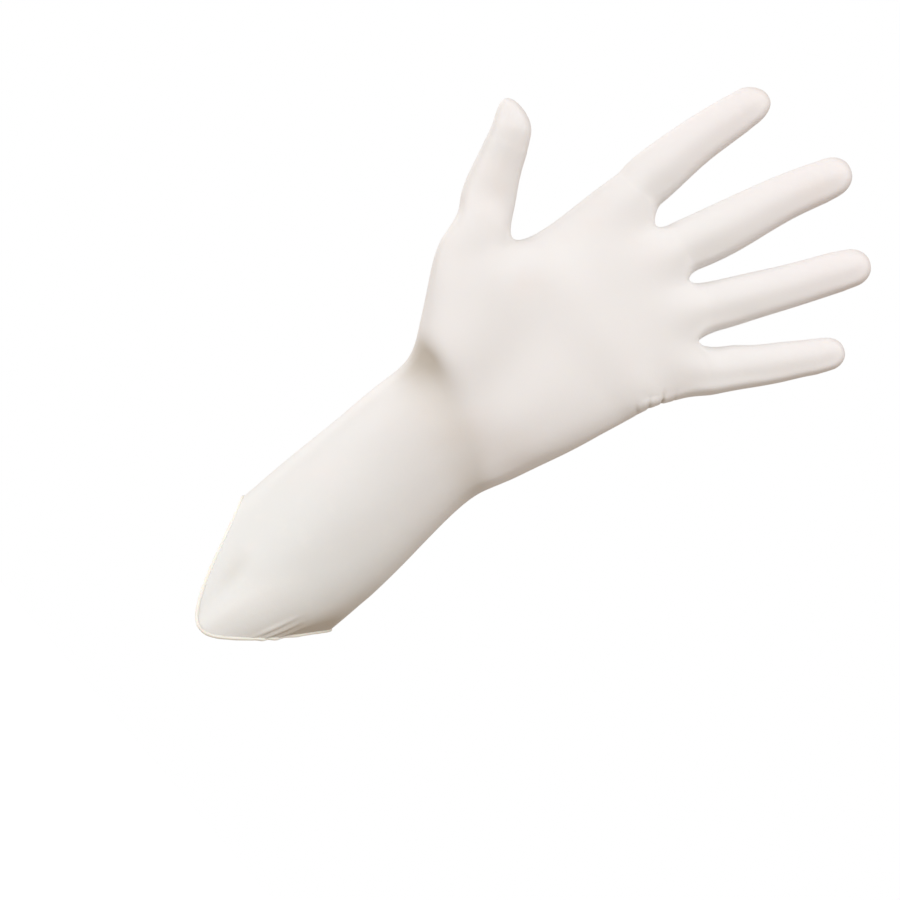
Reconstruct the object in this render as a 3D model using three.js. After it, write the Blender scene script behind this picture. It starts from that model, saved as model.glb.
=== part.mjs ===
// Disposable latex glove for a left hand, in the form it takes when worn with the cuff being pulled on.
// Millimetres. +Z runs from the cuff to the fingertips, -Y is the palm side and -X the thumb side.
// The origin is the middle of the wrist. The glove is one dipped film: a tube for the forearm and the palm
// that divides first into thumb and palm, then into four fingers, with a rolled bead round its mouth.
//
// The film is drawn as a coarse cage of four-sided faces, ring by ring. The cage is fitted so that its smooth
// (Catmull-Clark) surface passes through the sections below, and that surface is given its wall and its bead.
import * as THREE from "three";

// Driving dimensions
const WALL = 1.0; // wall of the film in the solid
const BEAD_RADIUS = 1.3; // rolled bead round the mouth
const BEAD_STEPS = 6; // steps round the bead
const BEAD_LAP = Math.PI / 6; // how far past the half turn the bead rolls on to each side of the film
const FIT_PASSES = 8; // how closely the smooth surface follows the sections
const TRUNK_FRONT = 11; // points across the palm side of a forearm section: three of thumb, nine of palm
const PALM_FRONT = 9; // points across the palm side of a palm section
const THUMB_STEPS = 2; // steps across the thumb, in a forearm section
const FINGER_STEPS = 2; // steps across each finger, in a palm section
const SECTION_SAMPLES = 720; // fine steps from which a section's points are picked

// The mounds at the base of the thumb and of the little finger. centre and reach are shares of the section's
// half width, from the middle, and negative towards the thumb.
const THENAR = { centre: -0.55, reach: 0.72 };
const HEEL = { centre: 0.6, reach: 0.68 };

// The cuff is pulled down and away from the forearm at the middle of its palm side.
const PULL = { x: -2, drop: 37.5, lift: 20, sharpness: 2.2, spread: 1.8 };
const PULL_FROM = -30; // height where the film begins to leave the forearm
const PULL_CURVE = 1.35; // 1 is a straight line from there to the mouth
const CUFF_ROWS = 4; // rows between the mouth and the first section
const MOUTH_Z = -79; // mouth where it isn't pulled
const MOUTH_SLANT = -0.13; // how the mouth falls towards the little-finger side

const LATEX = { color: 0xebe6e0, roughness: 0.55, metalness: 0 };

// Rows of numbers as records with named columns.
function table(columns, rows) {
  return rows.map((row) => Object.fromEntries(columns.map((name, i) => [name, row[i]])));
}

// Forearm, wrist and lower palm, up to the base of the thumb. thumbZ, palmZ and littleZ are the heights of
// the section at the thumb edge, where the palm begins and at the little-finger edge. left and right are the
// edges in X. middle and half are the section's centre and half depth in Y, and square is how square it is.
// thenar and heel are how far the thumb's and the little finger's mounds stand out of the palm side, and
// forward is how far the thumb edge swings to the palm side. The forearm leans back from the wrist.
const SECTION_COLUMNS = ["thumbZ", "palmZ", "littleZ", "left", "right", "middle", "half", "square"];
const MOUND_COLUMNS = ["thenar", "heel", "forward"];
const TRUNK_SECTIONS = table(
  [...SECTION_COLUMNS, ...MOUND_COLUMNS],
  [
    [-61, -61, -61, -28.7, 29.8, 13.4, 22.0, 2.1, 0, 0, 0],
    [-46, -46, -46, -28.4, 28.9, 10.8, 21.1, 2.1, 0, 0, 0],
    [-31, -31, -31, -27.9, 27.5, 8.0, 20.1, 2.1, 0, 0, 0],
    [-16, -16, -16, -27.8, 26.6, 5.0, 19.1, 2.1, 0, 0, 0],
    [-5, -5, -5, -27.4, 28.0, 2.9, 18.4, 2.15, -0.8, -0.3, 0],
    [4.5, 5, 5, -28.0, 31.0, 1.3, 18.0, 2.2, -2.4, -0.8, 0],
    [13, 15, 16, -32.2, 33.8, 0.4, 17.8, 2.3, 1.7, 1.4, 1],
    [22.5, 27, 28, -38.9, 36.9, 0, 17.3, 2.3, 3.4, 2.0, 3],
    [33, 39, 40, -47.0, 39.4, 0, 16.5, 2.3, 3.2, 1.9, 5],
    [43, 50, 51, -53.0, 41.7, 0, 15.5, 2.3, 2.3, 1.3, 6.5],
  ],
);

// Palm, from the thumb to the fingers.
const PALM_SECTIONS = table(
  [...SECTION_COLUMNS, ...MOUND_COLUMNS],
  [
    [74.5, 74.5, 68, -31.4, 47.0, 0.2, 13.9, 2.4, 0.2, 0.5, 0],
    [91, 90, 74.5, -30.5, 50.4, 0.6, 12.7, 2.5, 0, 0.1, 0],
  ],
);

// Rows of points where one part of the glove leaves another, from the thumb side to the little-finger side.
// front and back are how far the film stands from the hand's middle plane there, and backDrop how much lower
// the same point is on the back of the hand.
const ROOT_COLUMNS = ["x", "z", "front", "back", "backDrop"];
// Base of the thumb (edge, middle, web), then across the palm.
const THUMB_ROOT = table(ROOT_COLUMNS, [
  [-55.2, 53.5, 10.8, 0.2, 0],
  [-47.2, 58, 16.7, 6.4, 1],
  [-35.8, 61.4, 10.4, 2.6, 2],
  [-27.5, 63, 13.7, 10.4, 0],
  [-18.5, 62.6, 14.7, 13.2, 0],
  [-9, 62.4, 15.0, 14.2, 0],
  [1, 62.2, 15.1, 14.4, 0],
  [11, 62, 15.0, 14.0, 0],
  [21, 61.8, 14.6, 13.0, 0],
  [31, 61.6, 13.4, 11.0, 0],
  [42.3, 61.4, 8.4, 5.4, 0],
]);
// Bases of the fingers: edge, middle of a finger, web, middle of a finger and so on.
const FINGER_ROOTS = table(ROOT_COLUMNS, [
  [-28.2, 104, 5.6, 5.6, 1],
  [-18.6, 104.6, 9.5, 10.8, 1],
  [-5.8, 104.6, 6.6, 6.2, 2],
  [6.2, 103.4, 9.4, 10.8, 1],
  [17.2, 101.0, 6.6, 6.0, 2],
  [27.6, 95.8, 9.3, 10.2, 1],
  [36.2, 89.6, 6.4, 5.8, 2],
  [45.2, 85.4, 8.7, 9.4, 1],
  [53.2, 81.2, 4.8, 5.0, 1],
]);

// Fingers. Each section is the centre of the finger in X and Z and its width across; depth is a share of the
// width, rootY is the height of the centreline at the palm and tipY at the tip.
const SECTION = ["x", "z", "width"];
const FINGERS = {
  index: {
    sections: table(SECTION, [
      [-19.6, 109.6, 19.6],
      [-20.2, 115, 19.7],
      [-20.1, 125, 18.8],
      [-19.7, 136, 17.3],
      [-18.6, 147, 16.2],
      [-17.4, 156.5, 15.1],
    ]),
    tip: { x: -15.8, z: 169.6 },
    rootY: 0.4,
    tipY: -3,
  },
  middle: {
    sections: table(SECTION, [
      [7.1, 108.4, 19.8],
      [8.7, 114, 19.8],
      [11.7, 125, 19.6],
      [14.4, 137, 18.2],
      [17.5, 149.5, 16.8],
      [21.0, 160.5, 15.8],
    ]),
    tip: { x: 25.6, z: 174.6 },
    rootY: 0.4,
    tipY: -4,
  },
  ring: {
    sections: table(SECTION, [
      [29.9, 101.2, 18.8],
      [32.6, 106.6, 18.2],
      [36.9, 115.7, 17.3],
      [42.1, 126.5, 16.3],
      [46.9, 137, 15.6],
      [50.9, 146, 15.0],
    ]),
    tip: { x: 56.4, z: 157.8 },
    rootY: 0.2,
    tipY: -3,
  },
  little: {
    sections: table(SECTION, [
      [49.8, 89.0, 17.2],
      [53.4, 94.6, 16.6],
      [57.5, 100.3, 15.5],
      [62.2, 107.8, 14.8],
      [66.3, 114.6, 13.7],
      [69.6, 120, 13.2],
    ]),
    tip: { x: 74.4, z: 129.8 },
    rootY: 0.1,
    tipY: -2,
  },
  thumb: {
    sections: table(SECTION, [
      [-52.5, 64.2, 20.7],
      [-57.1, 71.2, 18.9],
      [-61.0, 78.2, 17.0],
      [-64.6, 84.8, 15.9],
      [-68.0, 90.2, 14.2],
    ]),
    tip: { x: -73.2, z: 98.3 },
    rootY: -5,
    tipY: -13,
  },
};
const FINGER_DEPTH = 0.9; // depth of a finger as a share of its width
const FINGER_CURVE = 1.6; // 1 leads the centreline straight from rootY to tipY, more bends it near the tip
// Rings that round off a fingertip: how far back from the tip, and their width as a share of the last one.
const TIP_RINGS = table(
  ["back", "share"],
  [
    [6.0, 0.88],
    [1.6, 0.5],
  ],
);

const lerp = THREE.MathUtils.lerp;
const HALF_TURN = Math.PI;
const HEXAGON_STEP = Math.PI / 3;

// The cage: points and four-sided faces that go anticlockwise seen from outside.
const cage = { points: [], quads: [] };

function addRing(points) {
  return points.map((point) => cage.points.push(point) - 1);
}

function joinRings(lower, upper) {
  lower.forEach((_, k) => {
    const next = (k + 1) % lower.length;
    cage.quads.push([lower[k], lower[next], upper[next], upper[k]]);
  });
}

// How much of a mound's height a point has, at its share of the half width.
function hump(share, { centre, reach }) {
  const away = Math.abs(share - centre) / reach;
  return away < 1 ? Math.cos((away * HALF_TURN) / 2) ** 2 : 0;
}

// Point of a section at an angle from the middle of the palm side, towards the little finger.
function sectionPoint(section, angle) {
  const halfWidth = (section.right - section.left) / 2;
  const middleX = (section.right + section.left) / 2;
  const power = 2 / section.square;
  const share = Math.sign(Math.sin(angle)) * Math.abs(Math.sin(angle)) ** power;
  const depth = Math.sign(Math.cos(angle)) * Math.abs(Math.cos(angle)) ** power;
  const mounds = section.thenar * hump(share, THENAR) + section.heel * hump(share, HEEL);
  const swing = section.forward * Math.max(0, -share) ** 2;
  const y = section.middle - section.half * depth - Math.max(0, depth) ** 0.5 * mounds - swing;
  return new THREE.Vector3(middleX + halfWidth * share, y, 0);
}

// A section as a closed ring of points a like distance apart. It starts at the thumb edge of the palm side,
// crosses to the little finger and comes back along the back of the hand.
function sectionRing(section, front) {
  const fine = [];
  for (let i = 0; i <= SECTION_SAMPLES; i++) {
    fine.push(sectionPoint(section, lerp(-HALF_TURN / 2, 1.5 * HALF_TURN, i / SECTION_SAMPLES)));
  }
  const travelled = [0];
  fine.slice(1).forEach((point, i) => travelled.push(travelled[i] + point.distanceTo(fine[i])));
  const count = 2 * front;
  const ring = [];
  for (let k = 0; k < count; k++) {
    const wanted = (travelled[SECTION_SAMPLES] * (k + 0.5)) / count;
    const i = travelled.findIndex((length) => length >= wanted);
    const part = (wanted - travelled[i - 1]) / (travelled[i] - travelled[i - 1]);
    const point = fine[i - 1].clone().lerp(fine[i], part);
    const column = k < front ? k : count - 1 - k;
    point.z = columnHeight(section, column, front);
    ring.push(point);
  }
  return ring;
}

function columnHeight(section, column, front) {
  const thumb = front === TRUNK_FRONT ? THUMB_STEPS : 0;
  if (column < thumb) return lerp(section.thumbZ, section.palmZ, column / thumb);
  return lerp(section.palmZ, section.littleZ, (column - thumb) / (front - 1 - thumb));
}

// How squarely a point of a forearm section faces the pull: 1 at the middle of the palm side, 0 at the sides.
function facingPull(point, middleY) {
  return Math.max(0, Math.cos(Math.atan2(point.x - PULL.x, middleY - point.y)));
}

// Draws a point of the forearm off it, towards the pull.
function drawnOut(point, middleY) {
  const reach = Math.max(0, (PULL_FROM - point.z) / (PULL_FROM - MOUTH_Z + PULL.drop));
  point.y -= PULL.lift * facingPull(point, middleY) ** PULL.spread * reach ** PULL_CURVE;
  return point;
}

// The mouth and the rows between it and the first section: each row keeps the section's form, moves down to
// the mouth, and falls lower where the cuff is pulled.
function cuffRings() {
  const [first, next] = TRUNK_SECTIONS;
  const lean = (next.middle - first.middle) / (next.palmZ - first.palmZ);
  const rings = [];
  for (let row = CUFF_ROWS; row > 0; row--) {
    const share = row / CUFF_ROWS;
    const ring = sectionRing(first, TRUNK_FRONT).map((point) => {
      const plainDrop = (point.z - MOUTH_Z - MOUTH_SLANT * point.x) * share;
      const middleY = first.middle - lean * plainDrop;
      const pulledDrop = PULL.drop * facingPull(point, first.middle) ** PULL.sharpness * share;
      point.y += middleY - first.middle;
      point.z -= plainDrop + pulledDrop;
      return drawnOut(point, middleY);
    });
    rings.push(ring);
  }
  return rings;
}

// A finger's ring is a hexagon on an ellipse: two points towards each neighbour, one in front, one behind.
function fingerRing(centre, along, width) {
  const front = new THREE.Vector3(0, -1, 0).addScaledVector(along, along.y).normalize();
  const side = new THREE.Vector3().crossVectors(front, along).negate().normalize();
  const ring = [];
  for (const step of [-1, 0, 1, 2, 3, 4]) {
    const angle = step * HEXAGON_STEP;
    ring.push(
      centre
        .clone()
        .addScaledVector(side, (Math.sin(angle) * width) / 2)
        .addScaledVector(front, (Math.cos(angle) * width * FINGER_DEPTH) / 2),
    );
  }
  return ring;
}

function addFinger(root, finger) {
  const last = finger.sections.at(-1);
  const tip = new THREE.Vector3(finger.tip.x, finger.tipY, finger.tip.z);
  const firstZ = finger.sections[0].z;
  const centres = finger.sections.map((section) => {
    const share = (section.z - firstZ) / (tip.z - firstZ);
    return new THREE.Vector3(section.x, lerp(finger.rootY, finger.tipY, share ** FINGER_CURVE), section.z);
  });
  const widths = finger.sections.map((section) => section.width);
  const end = tip.clone().sub(centres.at(-1)).normalize();
  for (const ring of TIP_RINGS) {
    centres.push(tip.clone().addScaledVector(end, -ring.back));
    widths.push(last.width * ring.share);
  }
  let lower = root;
  centres.forEach((centre, i) => {
    const before = centres[Math.max(0, i - 1)];
    const after = centres[i + 1] ?? tip;
    const along = after.clone().sub(before).normalize();
    const upper = addRing(fingerRing(centre, along, widths[i]));
    joinRings(lower, upper);
    lower = upper;
  });
  cage.quads.push([lower[1], lower[2], lower[3], lower[4]], [lower[4], lower[5], lower[0], lower[1]]);
}

// A closed ring from a row of roots: along the palm side, then back along the back of the hand.
function rootRing(roots) {
  const front = roots.map((at) => new THREE.Vector3(at.x, -at.front, at.z));
  const back = roots.map((at) => new THREE.Vector3(at.x, at.back, at.z - at.backDrop));
  return [...front, ...back.reverse()];
}

// Builds the whole cage, from the mouth up.
function buildCage() {
  const sections = TRUNK_SECTIONS.map((section) =>
    sectionRing(section, TRUNK_FRONT).map((point) => drawnOut(point, section.middle)),
  );
  const rows = [...cuffRings(), ...sections, rootRing(THUMB_ROOT)];
  const trunk = rows.map(addRing);
  trunk.slice(1).forEach((upper, i) => joinRings(trunk[i], upper));

  const top = trunk.at(-1);
  const across = (ring, from, to) => [
    ...ring.slice(from, to + 1),
    ...ring.slice(ring.length - 1 - to, ring.length - from),
  ];
  addFinger(across(top, 0, THUMB_STEPS), FINGERS.thumb);

  let lower = across(top, THUMB_STEPS, TRUNK_FRONT - 1);
  for (const section of PALM_SECTIONS) {
    const upper = addRing(sectionRing(section, PALM_FRONT));
    joinRings(lower, upper);
    lower = upper;
  }
  const roots = addRing(rootRing(FINGER_ROOTS));
  joinRings(lower, roots);
  [FINGERS.index, FINGERS.middle, FINGERS.ring, FINGERS.little].forEach((finger, i) => {
    addFinger(across(roots, i * FINGER_STEPS, (i + 1) * FINGER_STEPS), finger);
  });
}

// For every point of a mesh of four-sided faces: its neighbours along edges, the far corners of its faces,
// and the neighbours along the open edge if it lies there.
function neighbourhoods(quads, count) {
  const around = Array.from({ length: count }, () => ({ edges: new Map(), corners: [] }));
  for (const quad of quads) {
    quad.forEach((point, i) => {
      const next = quad[(i + 1) % 4];
      around[point].corners.push(quad[(i + 2) % 4]);
      around[point].edges.set(next, (around[point].edges.get(next) ?? 0) + 1);
      around[next].edges.set(point, (around[next].edges.get(point) ?? 0) + 1);
    });
  }
  return around.map(({ edges, corners }) => ({
    edges: [...edges.keys()],
    corners,
    open: [...edges].filter(([, faces]) => faces === 1).map(([point]) => point),
  }));
}

function sum(points, chosen) {
  return chosen.reduce((total, i) => total.add(points[i]), new THREE.Vector3());
}

// Where each point of the mesh ends up on its smooth surface.
function limitPoints(points, around) {
  return points.map((point, i) => {
    const { edges, corners, open } = around[i];
    if (open.length) return sum(points, open).addScaledVector(point, 4).divideScalar(6);
    const n = edges.length;
    return sum(points, corners)
      .addScaledVector(sum(points, edges), 4)
      .addScaledVector(point, n * n)
      .divideScalar(n * (n + 5));
  });
}

// Moves the cage's points until its smooth surface passes close to where they were.
function fitted(points, around) {
  let moved = points;
  for (let pass = 0; pass < FIT_PASSES; pass++) {
    const reached = limitPoints(moved, around);
    moved = moved.map((point, i) => point.clone().add(points[i]).sub(reached[i]));
  }
  return moved;
}

// One Catmull-Clark step: every face becomes four.
function subdivided(points, quads, around) {
  const faces = quads.map((quad) => sum(points, quad).divideScalar(4));
  const edgeFaces = new Map();
  const key = (a, b) => (a < b ? `${a} ${b}` : `${b} ${a}`);
  quads.forEach((quad, face) => {
    quad.forEach((point, i) => {
      const name = key(point, quad[(i + 1) % 4]);
      edgeFaces.set(name, [...(edgeFaces.get(name) ?? []), face]);
    });
  });
  const finer = points.map((point, i) => {
    const { edges, corners, open } = around[i];
    if (open.length) return sum(points, open).addScaledVector(point, 6).divideScalar(8);
    const n = edges.length;
    return sum(points, corners)
      .addScaledVector(sum(points, edges), 6)
      .divideScalar(4 * n * n)
      .addScaledVector(point, 1 - 7 / (4 * n));
  });
  const faceStart = finer.length;
  finer.push(...faces);
  const edgePoint = new Map();
  for (const [name, touching] of edgeFaces) {
    const ends = name.split(" ").map(Number);
    const point = sum(points, ends);
    if (touching.length === 1) point.divideScalar(2);
    else point.add(faces[touching[0]]).add(faces[touching[1]]).divideScalar(4);
    edgePoint.set(name, finer.push(point) - 1);
  }
  const finerQuads = quads.flatMap((quad, face) =>
    quad.map((point, i) => [
      point,
      edgePoint.get(key(point, quad[(i + 1) % 4])),
      faceStart + face,
      edgePoint.get(key(quad[(i + 3) % 4], point)),
    ]),
  );
  return { points: finer, quads: finerQuads };
}

function outwardNormals(points, quads) {
  const normals = points.map(() => new THREE.Vector3());
  for (const quad of quads) {
    const [a, b, c, d] = quad.map((i) => points[i]);
    const normal = c.clone().sub(a).cross(d.clone().sub(b));
    quad.forEach((i) => normals[i].add(normal));
  }
  return normals.map((normal) => normal.normalize());
}

// The film as a closed solid: the smooth surface outside, its copy one wall further in, and the rolled bead
// that joins the two round the mouth.
function gloveGeometry() {
  buildCage();
  const cageAround = neighbourhoods(cage.quads, cage.points.length);
  const { points, quads } = subdivided(fitted(cage.points, cageAround), cage.quads, cageAround);
  const around = neighbourhoods(quads, points.length);
  const outer = limitPoints(points, around);
  const normals = outwardNormals(outer, quads);
  const inner = outer.map((point, i) => point.clone().addScaledVector(normals[i], -WALL));
  const vertices = [...outer, ...inner];
  const inside = quads.map((quad) => [quad[0], quad[3], quad[2], quad[1]].map((i) => i + outer.length));
  const faces = [...quads, ...inside];

  // The mouth's points in order, each with the ring of points that the bead has there.
  const start = around.findIndex(({ open }) => open.length > 0);
  const mouth = [start];
  for (let next = around[start].open[0]; next !== start; ) {
    mouth.push(next);
    next = around[next].open.find((point) => point !== mouth.at(-2)) ?? start;
  }
  const beads = mouth.map((i, k) => {
    const along = outer[mouth[(k + 1) % mouth.length]].clone().sub(outer[mouth.at(k - 1)]).normalize();
    const out = normals[i].clone().addScaledVector(along, -normals[i].dot(along)).normalize();
    const above = sum(outer, around[i].edges.filter((point) => !around[i].open.includes(point)));
    const away = new THREE.Vector3().crossVectors(along, out);
    if (away.dot(outer[i].clone().sub(above)) < 0) away.negate();
    const centre = outer[i].clone().addScaledVector(out, -WALL / 2).addScaledVector(away, BEAD_RADIUS);
    const ring = [i];
    for (let step = 0; step <= BEAD_STEPS; step++) {
      const angle = lerp(-BEAD_LAP, HALF_TURN + BEAD_LAP, step / BEAD_STEPS);
      const point = centre
        .clone()
        .addScaledVector(out, BEAD_RADIUS * Math.cos(angle))
        .addScaledVector(away, BEAD_RADIUS * Math.sin(angle));
      ring.push(vertices.push(point) - 1);
    }
    return [...ring, i + outer.length];
  });
  // The bead's faces turn the same way as the film's beside them.
  const borders = quads.some((quad) =>
    quad.some((point, i) => point === mouth[0] && quad[(i + 1) % 4] === mouth[1]),
  );
  beads.forEach((ring, k) => {
    const next = beads[(k + 1) % beads.length];
    for (let step = 0; step < ring.length - 1; step++) {
      const face = [ring[step], next[step], next[step + 1], ring[step + 1]];
      faces.push(borders ? face.reverse() : face);
    }
  });

  const position = new Float32Array(vertices.flatMap((vertex) => vertex.toArray()));
  // Each face is split from the cage's corner to the middle of the cage's face.
  const index = faces.flatMap(([a, b, c, d]) => [a, b, c, a, c, d]);
  const geometry = new THREE.BufferGeometry();
  geometry.setAttribute("position", new THREE.BufferAttribute(position, 3));
  geometry.setIndex(index);
  geometry.computeVertexNormals();
  return geometry;
}

const glove = new THREE.Mesh(gloveGeometry(), new THREE.MeshStandardMaterial(LATEX));
glove.name = "glove";
const group = new THREE.Group();
group.add(glove);

export default group;
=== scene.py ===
import math

import bmesh
import bpy
import numpy as np
from bpy.props import FloatProperty, FloatVectorProperty, PointerProperty
from mathutils import Matrix, Vector, noise

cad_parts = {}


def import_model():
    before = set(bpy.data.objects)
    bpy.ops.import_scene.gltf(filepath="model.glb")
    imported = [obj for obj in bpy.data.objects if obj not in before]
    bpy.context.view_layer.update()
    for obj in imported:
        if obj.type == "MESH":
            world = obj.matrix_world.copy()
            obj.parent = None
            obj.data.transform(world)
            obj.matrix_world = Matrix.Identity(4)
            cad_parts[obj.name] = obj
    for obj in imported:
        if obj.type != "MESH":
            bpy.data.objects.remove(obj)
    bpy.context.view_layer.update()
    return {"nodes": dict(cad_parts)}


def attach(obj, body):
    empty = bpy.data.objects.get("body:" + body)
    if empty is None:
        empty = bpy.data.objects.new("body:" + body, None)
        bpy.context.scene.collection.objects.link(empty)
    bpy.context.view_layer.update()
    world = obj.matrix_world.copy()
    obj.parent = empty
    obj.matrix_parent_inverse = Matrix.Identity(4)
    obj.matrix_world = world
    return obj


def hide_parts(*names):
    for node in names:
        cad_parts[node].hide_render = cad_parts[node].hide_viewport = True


bl_info = {
    "name": "Latex Glove",
    "version": (1, 0, 0),
    "blender": (4, 5, 0),
    "location": "3D View > Sidebar > Glove",
    "description": "Film, rolled bead and studio for a worn latex glove",
    "category": "Object",
}

MM = 0.001
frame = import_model()

# The camera looks along +Y at the palm, rolled so that the cuff comes from the lower left.
AIM = Vector((0.008, 0.0, -0.0054))
VIEW_RIGHT = Vector((0.6494, 0.0, 0.7604)).normalized()
VIEW_UP = Vector((-0.7604, 0.0, 0.6494)).normalized()
VIEW_BACK = Vector((0.0, -1.0, 0.0))

# Below this height the mouth's bead is looked for on the CAD node, in metres.
BEAD_BELOW = -0.065
FILM_LEVELS = 2

# Ridges (height above 0) and dents (below 0) on the palm side. Each is a smooth curve through its knots:
# place in X and Z, height, and how far it reaches to its left and right, seen along the curve. All in mm.
WRIST_CREASE = (
    (-33.0, 11.0, -1.0, 4.0, 10.0),
    (-25.0, 10.2, -1.7, 4.2, 13.0),
    (-18.0, 9.4, -1.6, 4.5, 13.0),
    (-9.0, 7.6, -1.0, 6.0, 12.0),
    (2.0, 5.0, -0.9, 6.0, 11.0),
    (12.0, 1.0, -0.9, 6.0, 10.0),
    (21.0, -4.0, -0.8, 5.0, 8.0),
    (29.0, -9.0, -0.4, 4.0, 6.0),
)
# Painted shade: a browner colour painted where shade falls in and beside the wrist crease. Heights here are
# shares of that painted shade.
CREASE_PAINTED_SHADE = (
    (-34.0, 10.0, 0.5, 3.5, 8.0),
    (-25.0, 9.8, 1.08, 3.9, 11.0),
    (-19.0, 9.2, 0.95, 4.1, 12.0),
    (-11.0, 6.5, 0.55, 5.5, 14.0),
    (2.0, 2.5, 0.42, 6.0, 14.0),
    (12.0, 0.0, 0.34, 6.0, 12.0),
    (22.0, -5.0, 0.48, 5.0, 9.0),
    (31.0, -12.0, 0.34, 4.0, 7.0),
)
# The pulled film is drawn up into a soft roll, with a hollow on its thumb side and a flat shoulder on the
# other.
PULL_ROLL = (
    (0.5, -117.0, 0.3, 4.0, 5.0),
    (1.5, -104.0, 0.6, 4.5, 6.0),
    (3.5, -92.0, 0.5, 5.0, 7.0),
    (8.5, -76.0, 0.0, 6.0, 7.0),
)
PULL_HOLLOW = (
    (-6.0, -113.0, -0.6, 3.2, 3.2),
    (-8.5, -99.0, -1.6, 3.8, 3.8),
    (-11.5, -88.0, -1.0, 4.4, 4.4),
    (-15.0, -76.0, 0.0, 5.0, 5.0),
)
PULL_SHOULDER = (
    (8.0, -114.0, 0.6, 5.0, 4.0),
    (14.5, -101.0, 2.4, 9.0, 5.5),
    (19.0, -88.0, 2.9, 12.0, 6.5),
    (21.0, -74.0, 2.0, 12.0, 8.0),
    (23.0, -56.0, 0.8, 11.0, 7.0),
    (23.0, -38.0, 0.0, 8.0, 6.0),
)
# The little-finger side of the palm, kept flat almost to its edge.
PALM_SHOULDER = (
    (27.0, 12.0, 0.0, 8.0, 5.0),
    (31.0, 28.0, 0.7, 10.0, 6.0),
    (35.0, 45.0, 1.3, 11.0, 6.0),
    (39.0, 60.0, 1.4, 11.0, 6.0),
    (43.0, 74.0, 0.9, 10.0, 6.0),
    (46.0, 86.0, 0.0, 8.0, 5.0),
)
# Painted shade and painted highlight at the pull: shares of the browner painted-shade colour, beside the
# shoulder and in the hollow, and of the paler painted-highlight colour on the lit crest of the pulled film.
PULL_PAINTED_SHADE = (
    (11.5, -109.0, 0.35, 2.2, 2.2),
    (16.5, -98.0, 0.75, 3.4, 3.6),
    (21.5, -90.5, 1.15, 4.6, 4.6),
    (26.5, -84.5, 1.4, 5.2, 5.0),
    (29.0, -73.0, 0.6, 4.5, 5.0),
    (29.0, -60.0, 0.25, 3.5, 4.0),
)
HOLLOW_PAINTED_SHADE = (
    (-8.0, -104.0, 0.0, 3.0, 3.0),
    (-10.0, -93.0, 0.2, 3.6, 3.6),
    (-13.0, -84.0, 0.0, 4.0, 4.0),
)
# Painted highlight: a paler colour painted on the lit crest of the pulled film, where the film is also made
# smoother.
PULL_PAINTED_HIGHLIGHT = (
    (-1.0, -113.0, 0.5, 4.5, 4.5),
    (2.0, -98.0, 1.0, 5.5, 6.0),
    (6.0, -85.0, 0.5, 6.0, 7.0),
    (11.0, -72.0, 0.0, 6.0, 7.0),
)
# Thin folds that fan out from the pull along the little-finger side of the cuff, each through three places.
FOLD_COLUMNS = ("x0", "z0", "x1", "z1", "x2", "z2", "height", "reach")
FAN_FOLDS = (
    (6.0, -114.0, 11.4, -106.2, 17.0, -85.0, 0.8, 0.6),
    (6.4, -113.8, 11.9, -106.6, 17.6, -88.4, -0.35, 0.5),
    (6.8, -113.6, 12.4, -106.8, 19.0, -86.0, 1.15, 0.6),
    (7.1, -113.4, 12.9, -107.0, 19.8, -88.6, -0.45, 0.5),
    (7.4, -113.2, 13.3, -107.2, 21.8, -84.6, 0.9, 0.62),
    (7.7, -113.0, 13.7, -107.2, 21.6, -90.2, -0.4, 0.5),
    (8.0, -112.8, 14.1, -107.0, 23.4, -89.0, 0.55, 0.5),
    (-8.5, -111.0, -14.0, -101.0, -19.0, -90.0, 0.2, 0.9),
    (-4.0, -114.6, -9.0, -104.0, -13.0, -94.0, 0.16, 0.9),
)
# Small creases where the little-finger edge of the palm bends.
EDGE_CREASES = (
    (38.4, 58.6, 39.8, 57.4, 43.0, 54.8, -0.4, 0.55),
    (40.5, 63.0, 42.0, 61.5, 45.5, 58.2, -0.7, 0.55),
    (41.8, 68.4, 43.6, 66.6, 47.5, 62.7, -0.9, 0.55),
    (44.8, 72.0, 46.4, 70.4, 49.8, 67.4, -0.3, 0.55),
)
# The back: rounded forms at the knuckles and the wrist, ridges that run to the knuckles, and the folds
# where the film is pushed together behind the bent wrist.
MOUND_COLUMNS = ("x", "z", "height", "reach")
BACK_MOUNDS = (
    (-23.0, 86.0, 1.5, 8.5),
    (1.0, 88.0, 1.6, 8.5),
    (21.0, 82.0, 1.4, 8.0),
    (40.0, 71.0, 1.2, 7.5),
    (-20.2, 128.0, 0.55, 6.0),
    (12.3, 129.0, 0.55, 6.0),
    (38.6, 118.5, 0.5, 5.6),
    (57.0, 99.5, 0.4, 5.0),
    (-57.0, 71.0, 0.6, 7.0),
    (-42.0, 46.0, 0.9, 9.0),
    (19.0, -9.0, 1.1, 8.0),
)
BACK_RIDGES = (
    ((-3.0, 24.0, 0.0, 2.6, 2.6), (-12.0, 54.0, 0.45, 2.6, 2.6), (-22.0, 82.0, 0.3, 3.0, 3.0)),
    ((0.0, 22.0, 0.0, 2.6, 2.6), (0.0, 54.0, 0.45, 2.6, 2.6), (1.0, 84.0, 0.3, 3.0, 3.0)),
    ((4.0, 22.0, 0.0, 2.6, 2.6), (13.0, 52.0, 0.45, 2.6, 2.6), (20.5, 78.0, 0.3, 3.0, 3.0)),
    ((8.0, 20.0, 0.0, 2.6, 2.6), (25.0, 47.0, 0.35, 2.6, 2.6), (39.0, 68.0, 0.25, 3.0, 3.0)),
)
BACK_FOLDS = (
    (-14.0, 12.0, 4.0, 10.5, 20.0, 13.0, 0.5, 1.7),
    (-22.0, 6.0, 1.0, 3.0, 23.0, 6.5, 0.95, 1.8),
    (-22.0, -0.5, 2.0, -4.0, 24.0, -1.0, 1.0, 1.9),
    (-18.0, -8.0, 3.0, -11.0, 21.0, -8.5, 0.6, 1.8),
)
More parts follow.
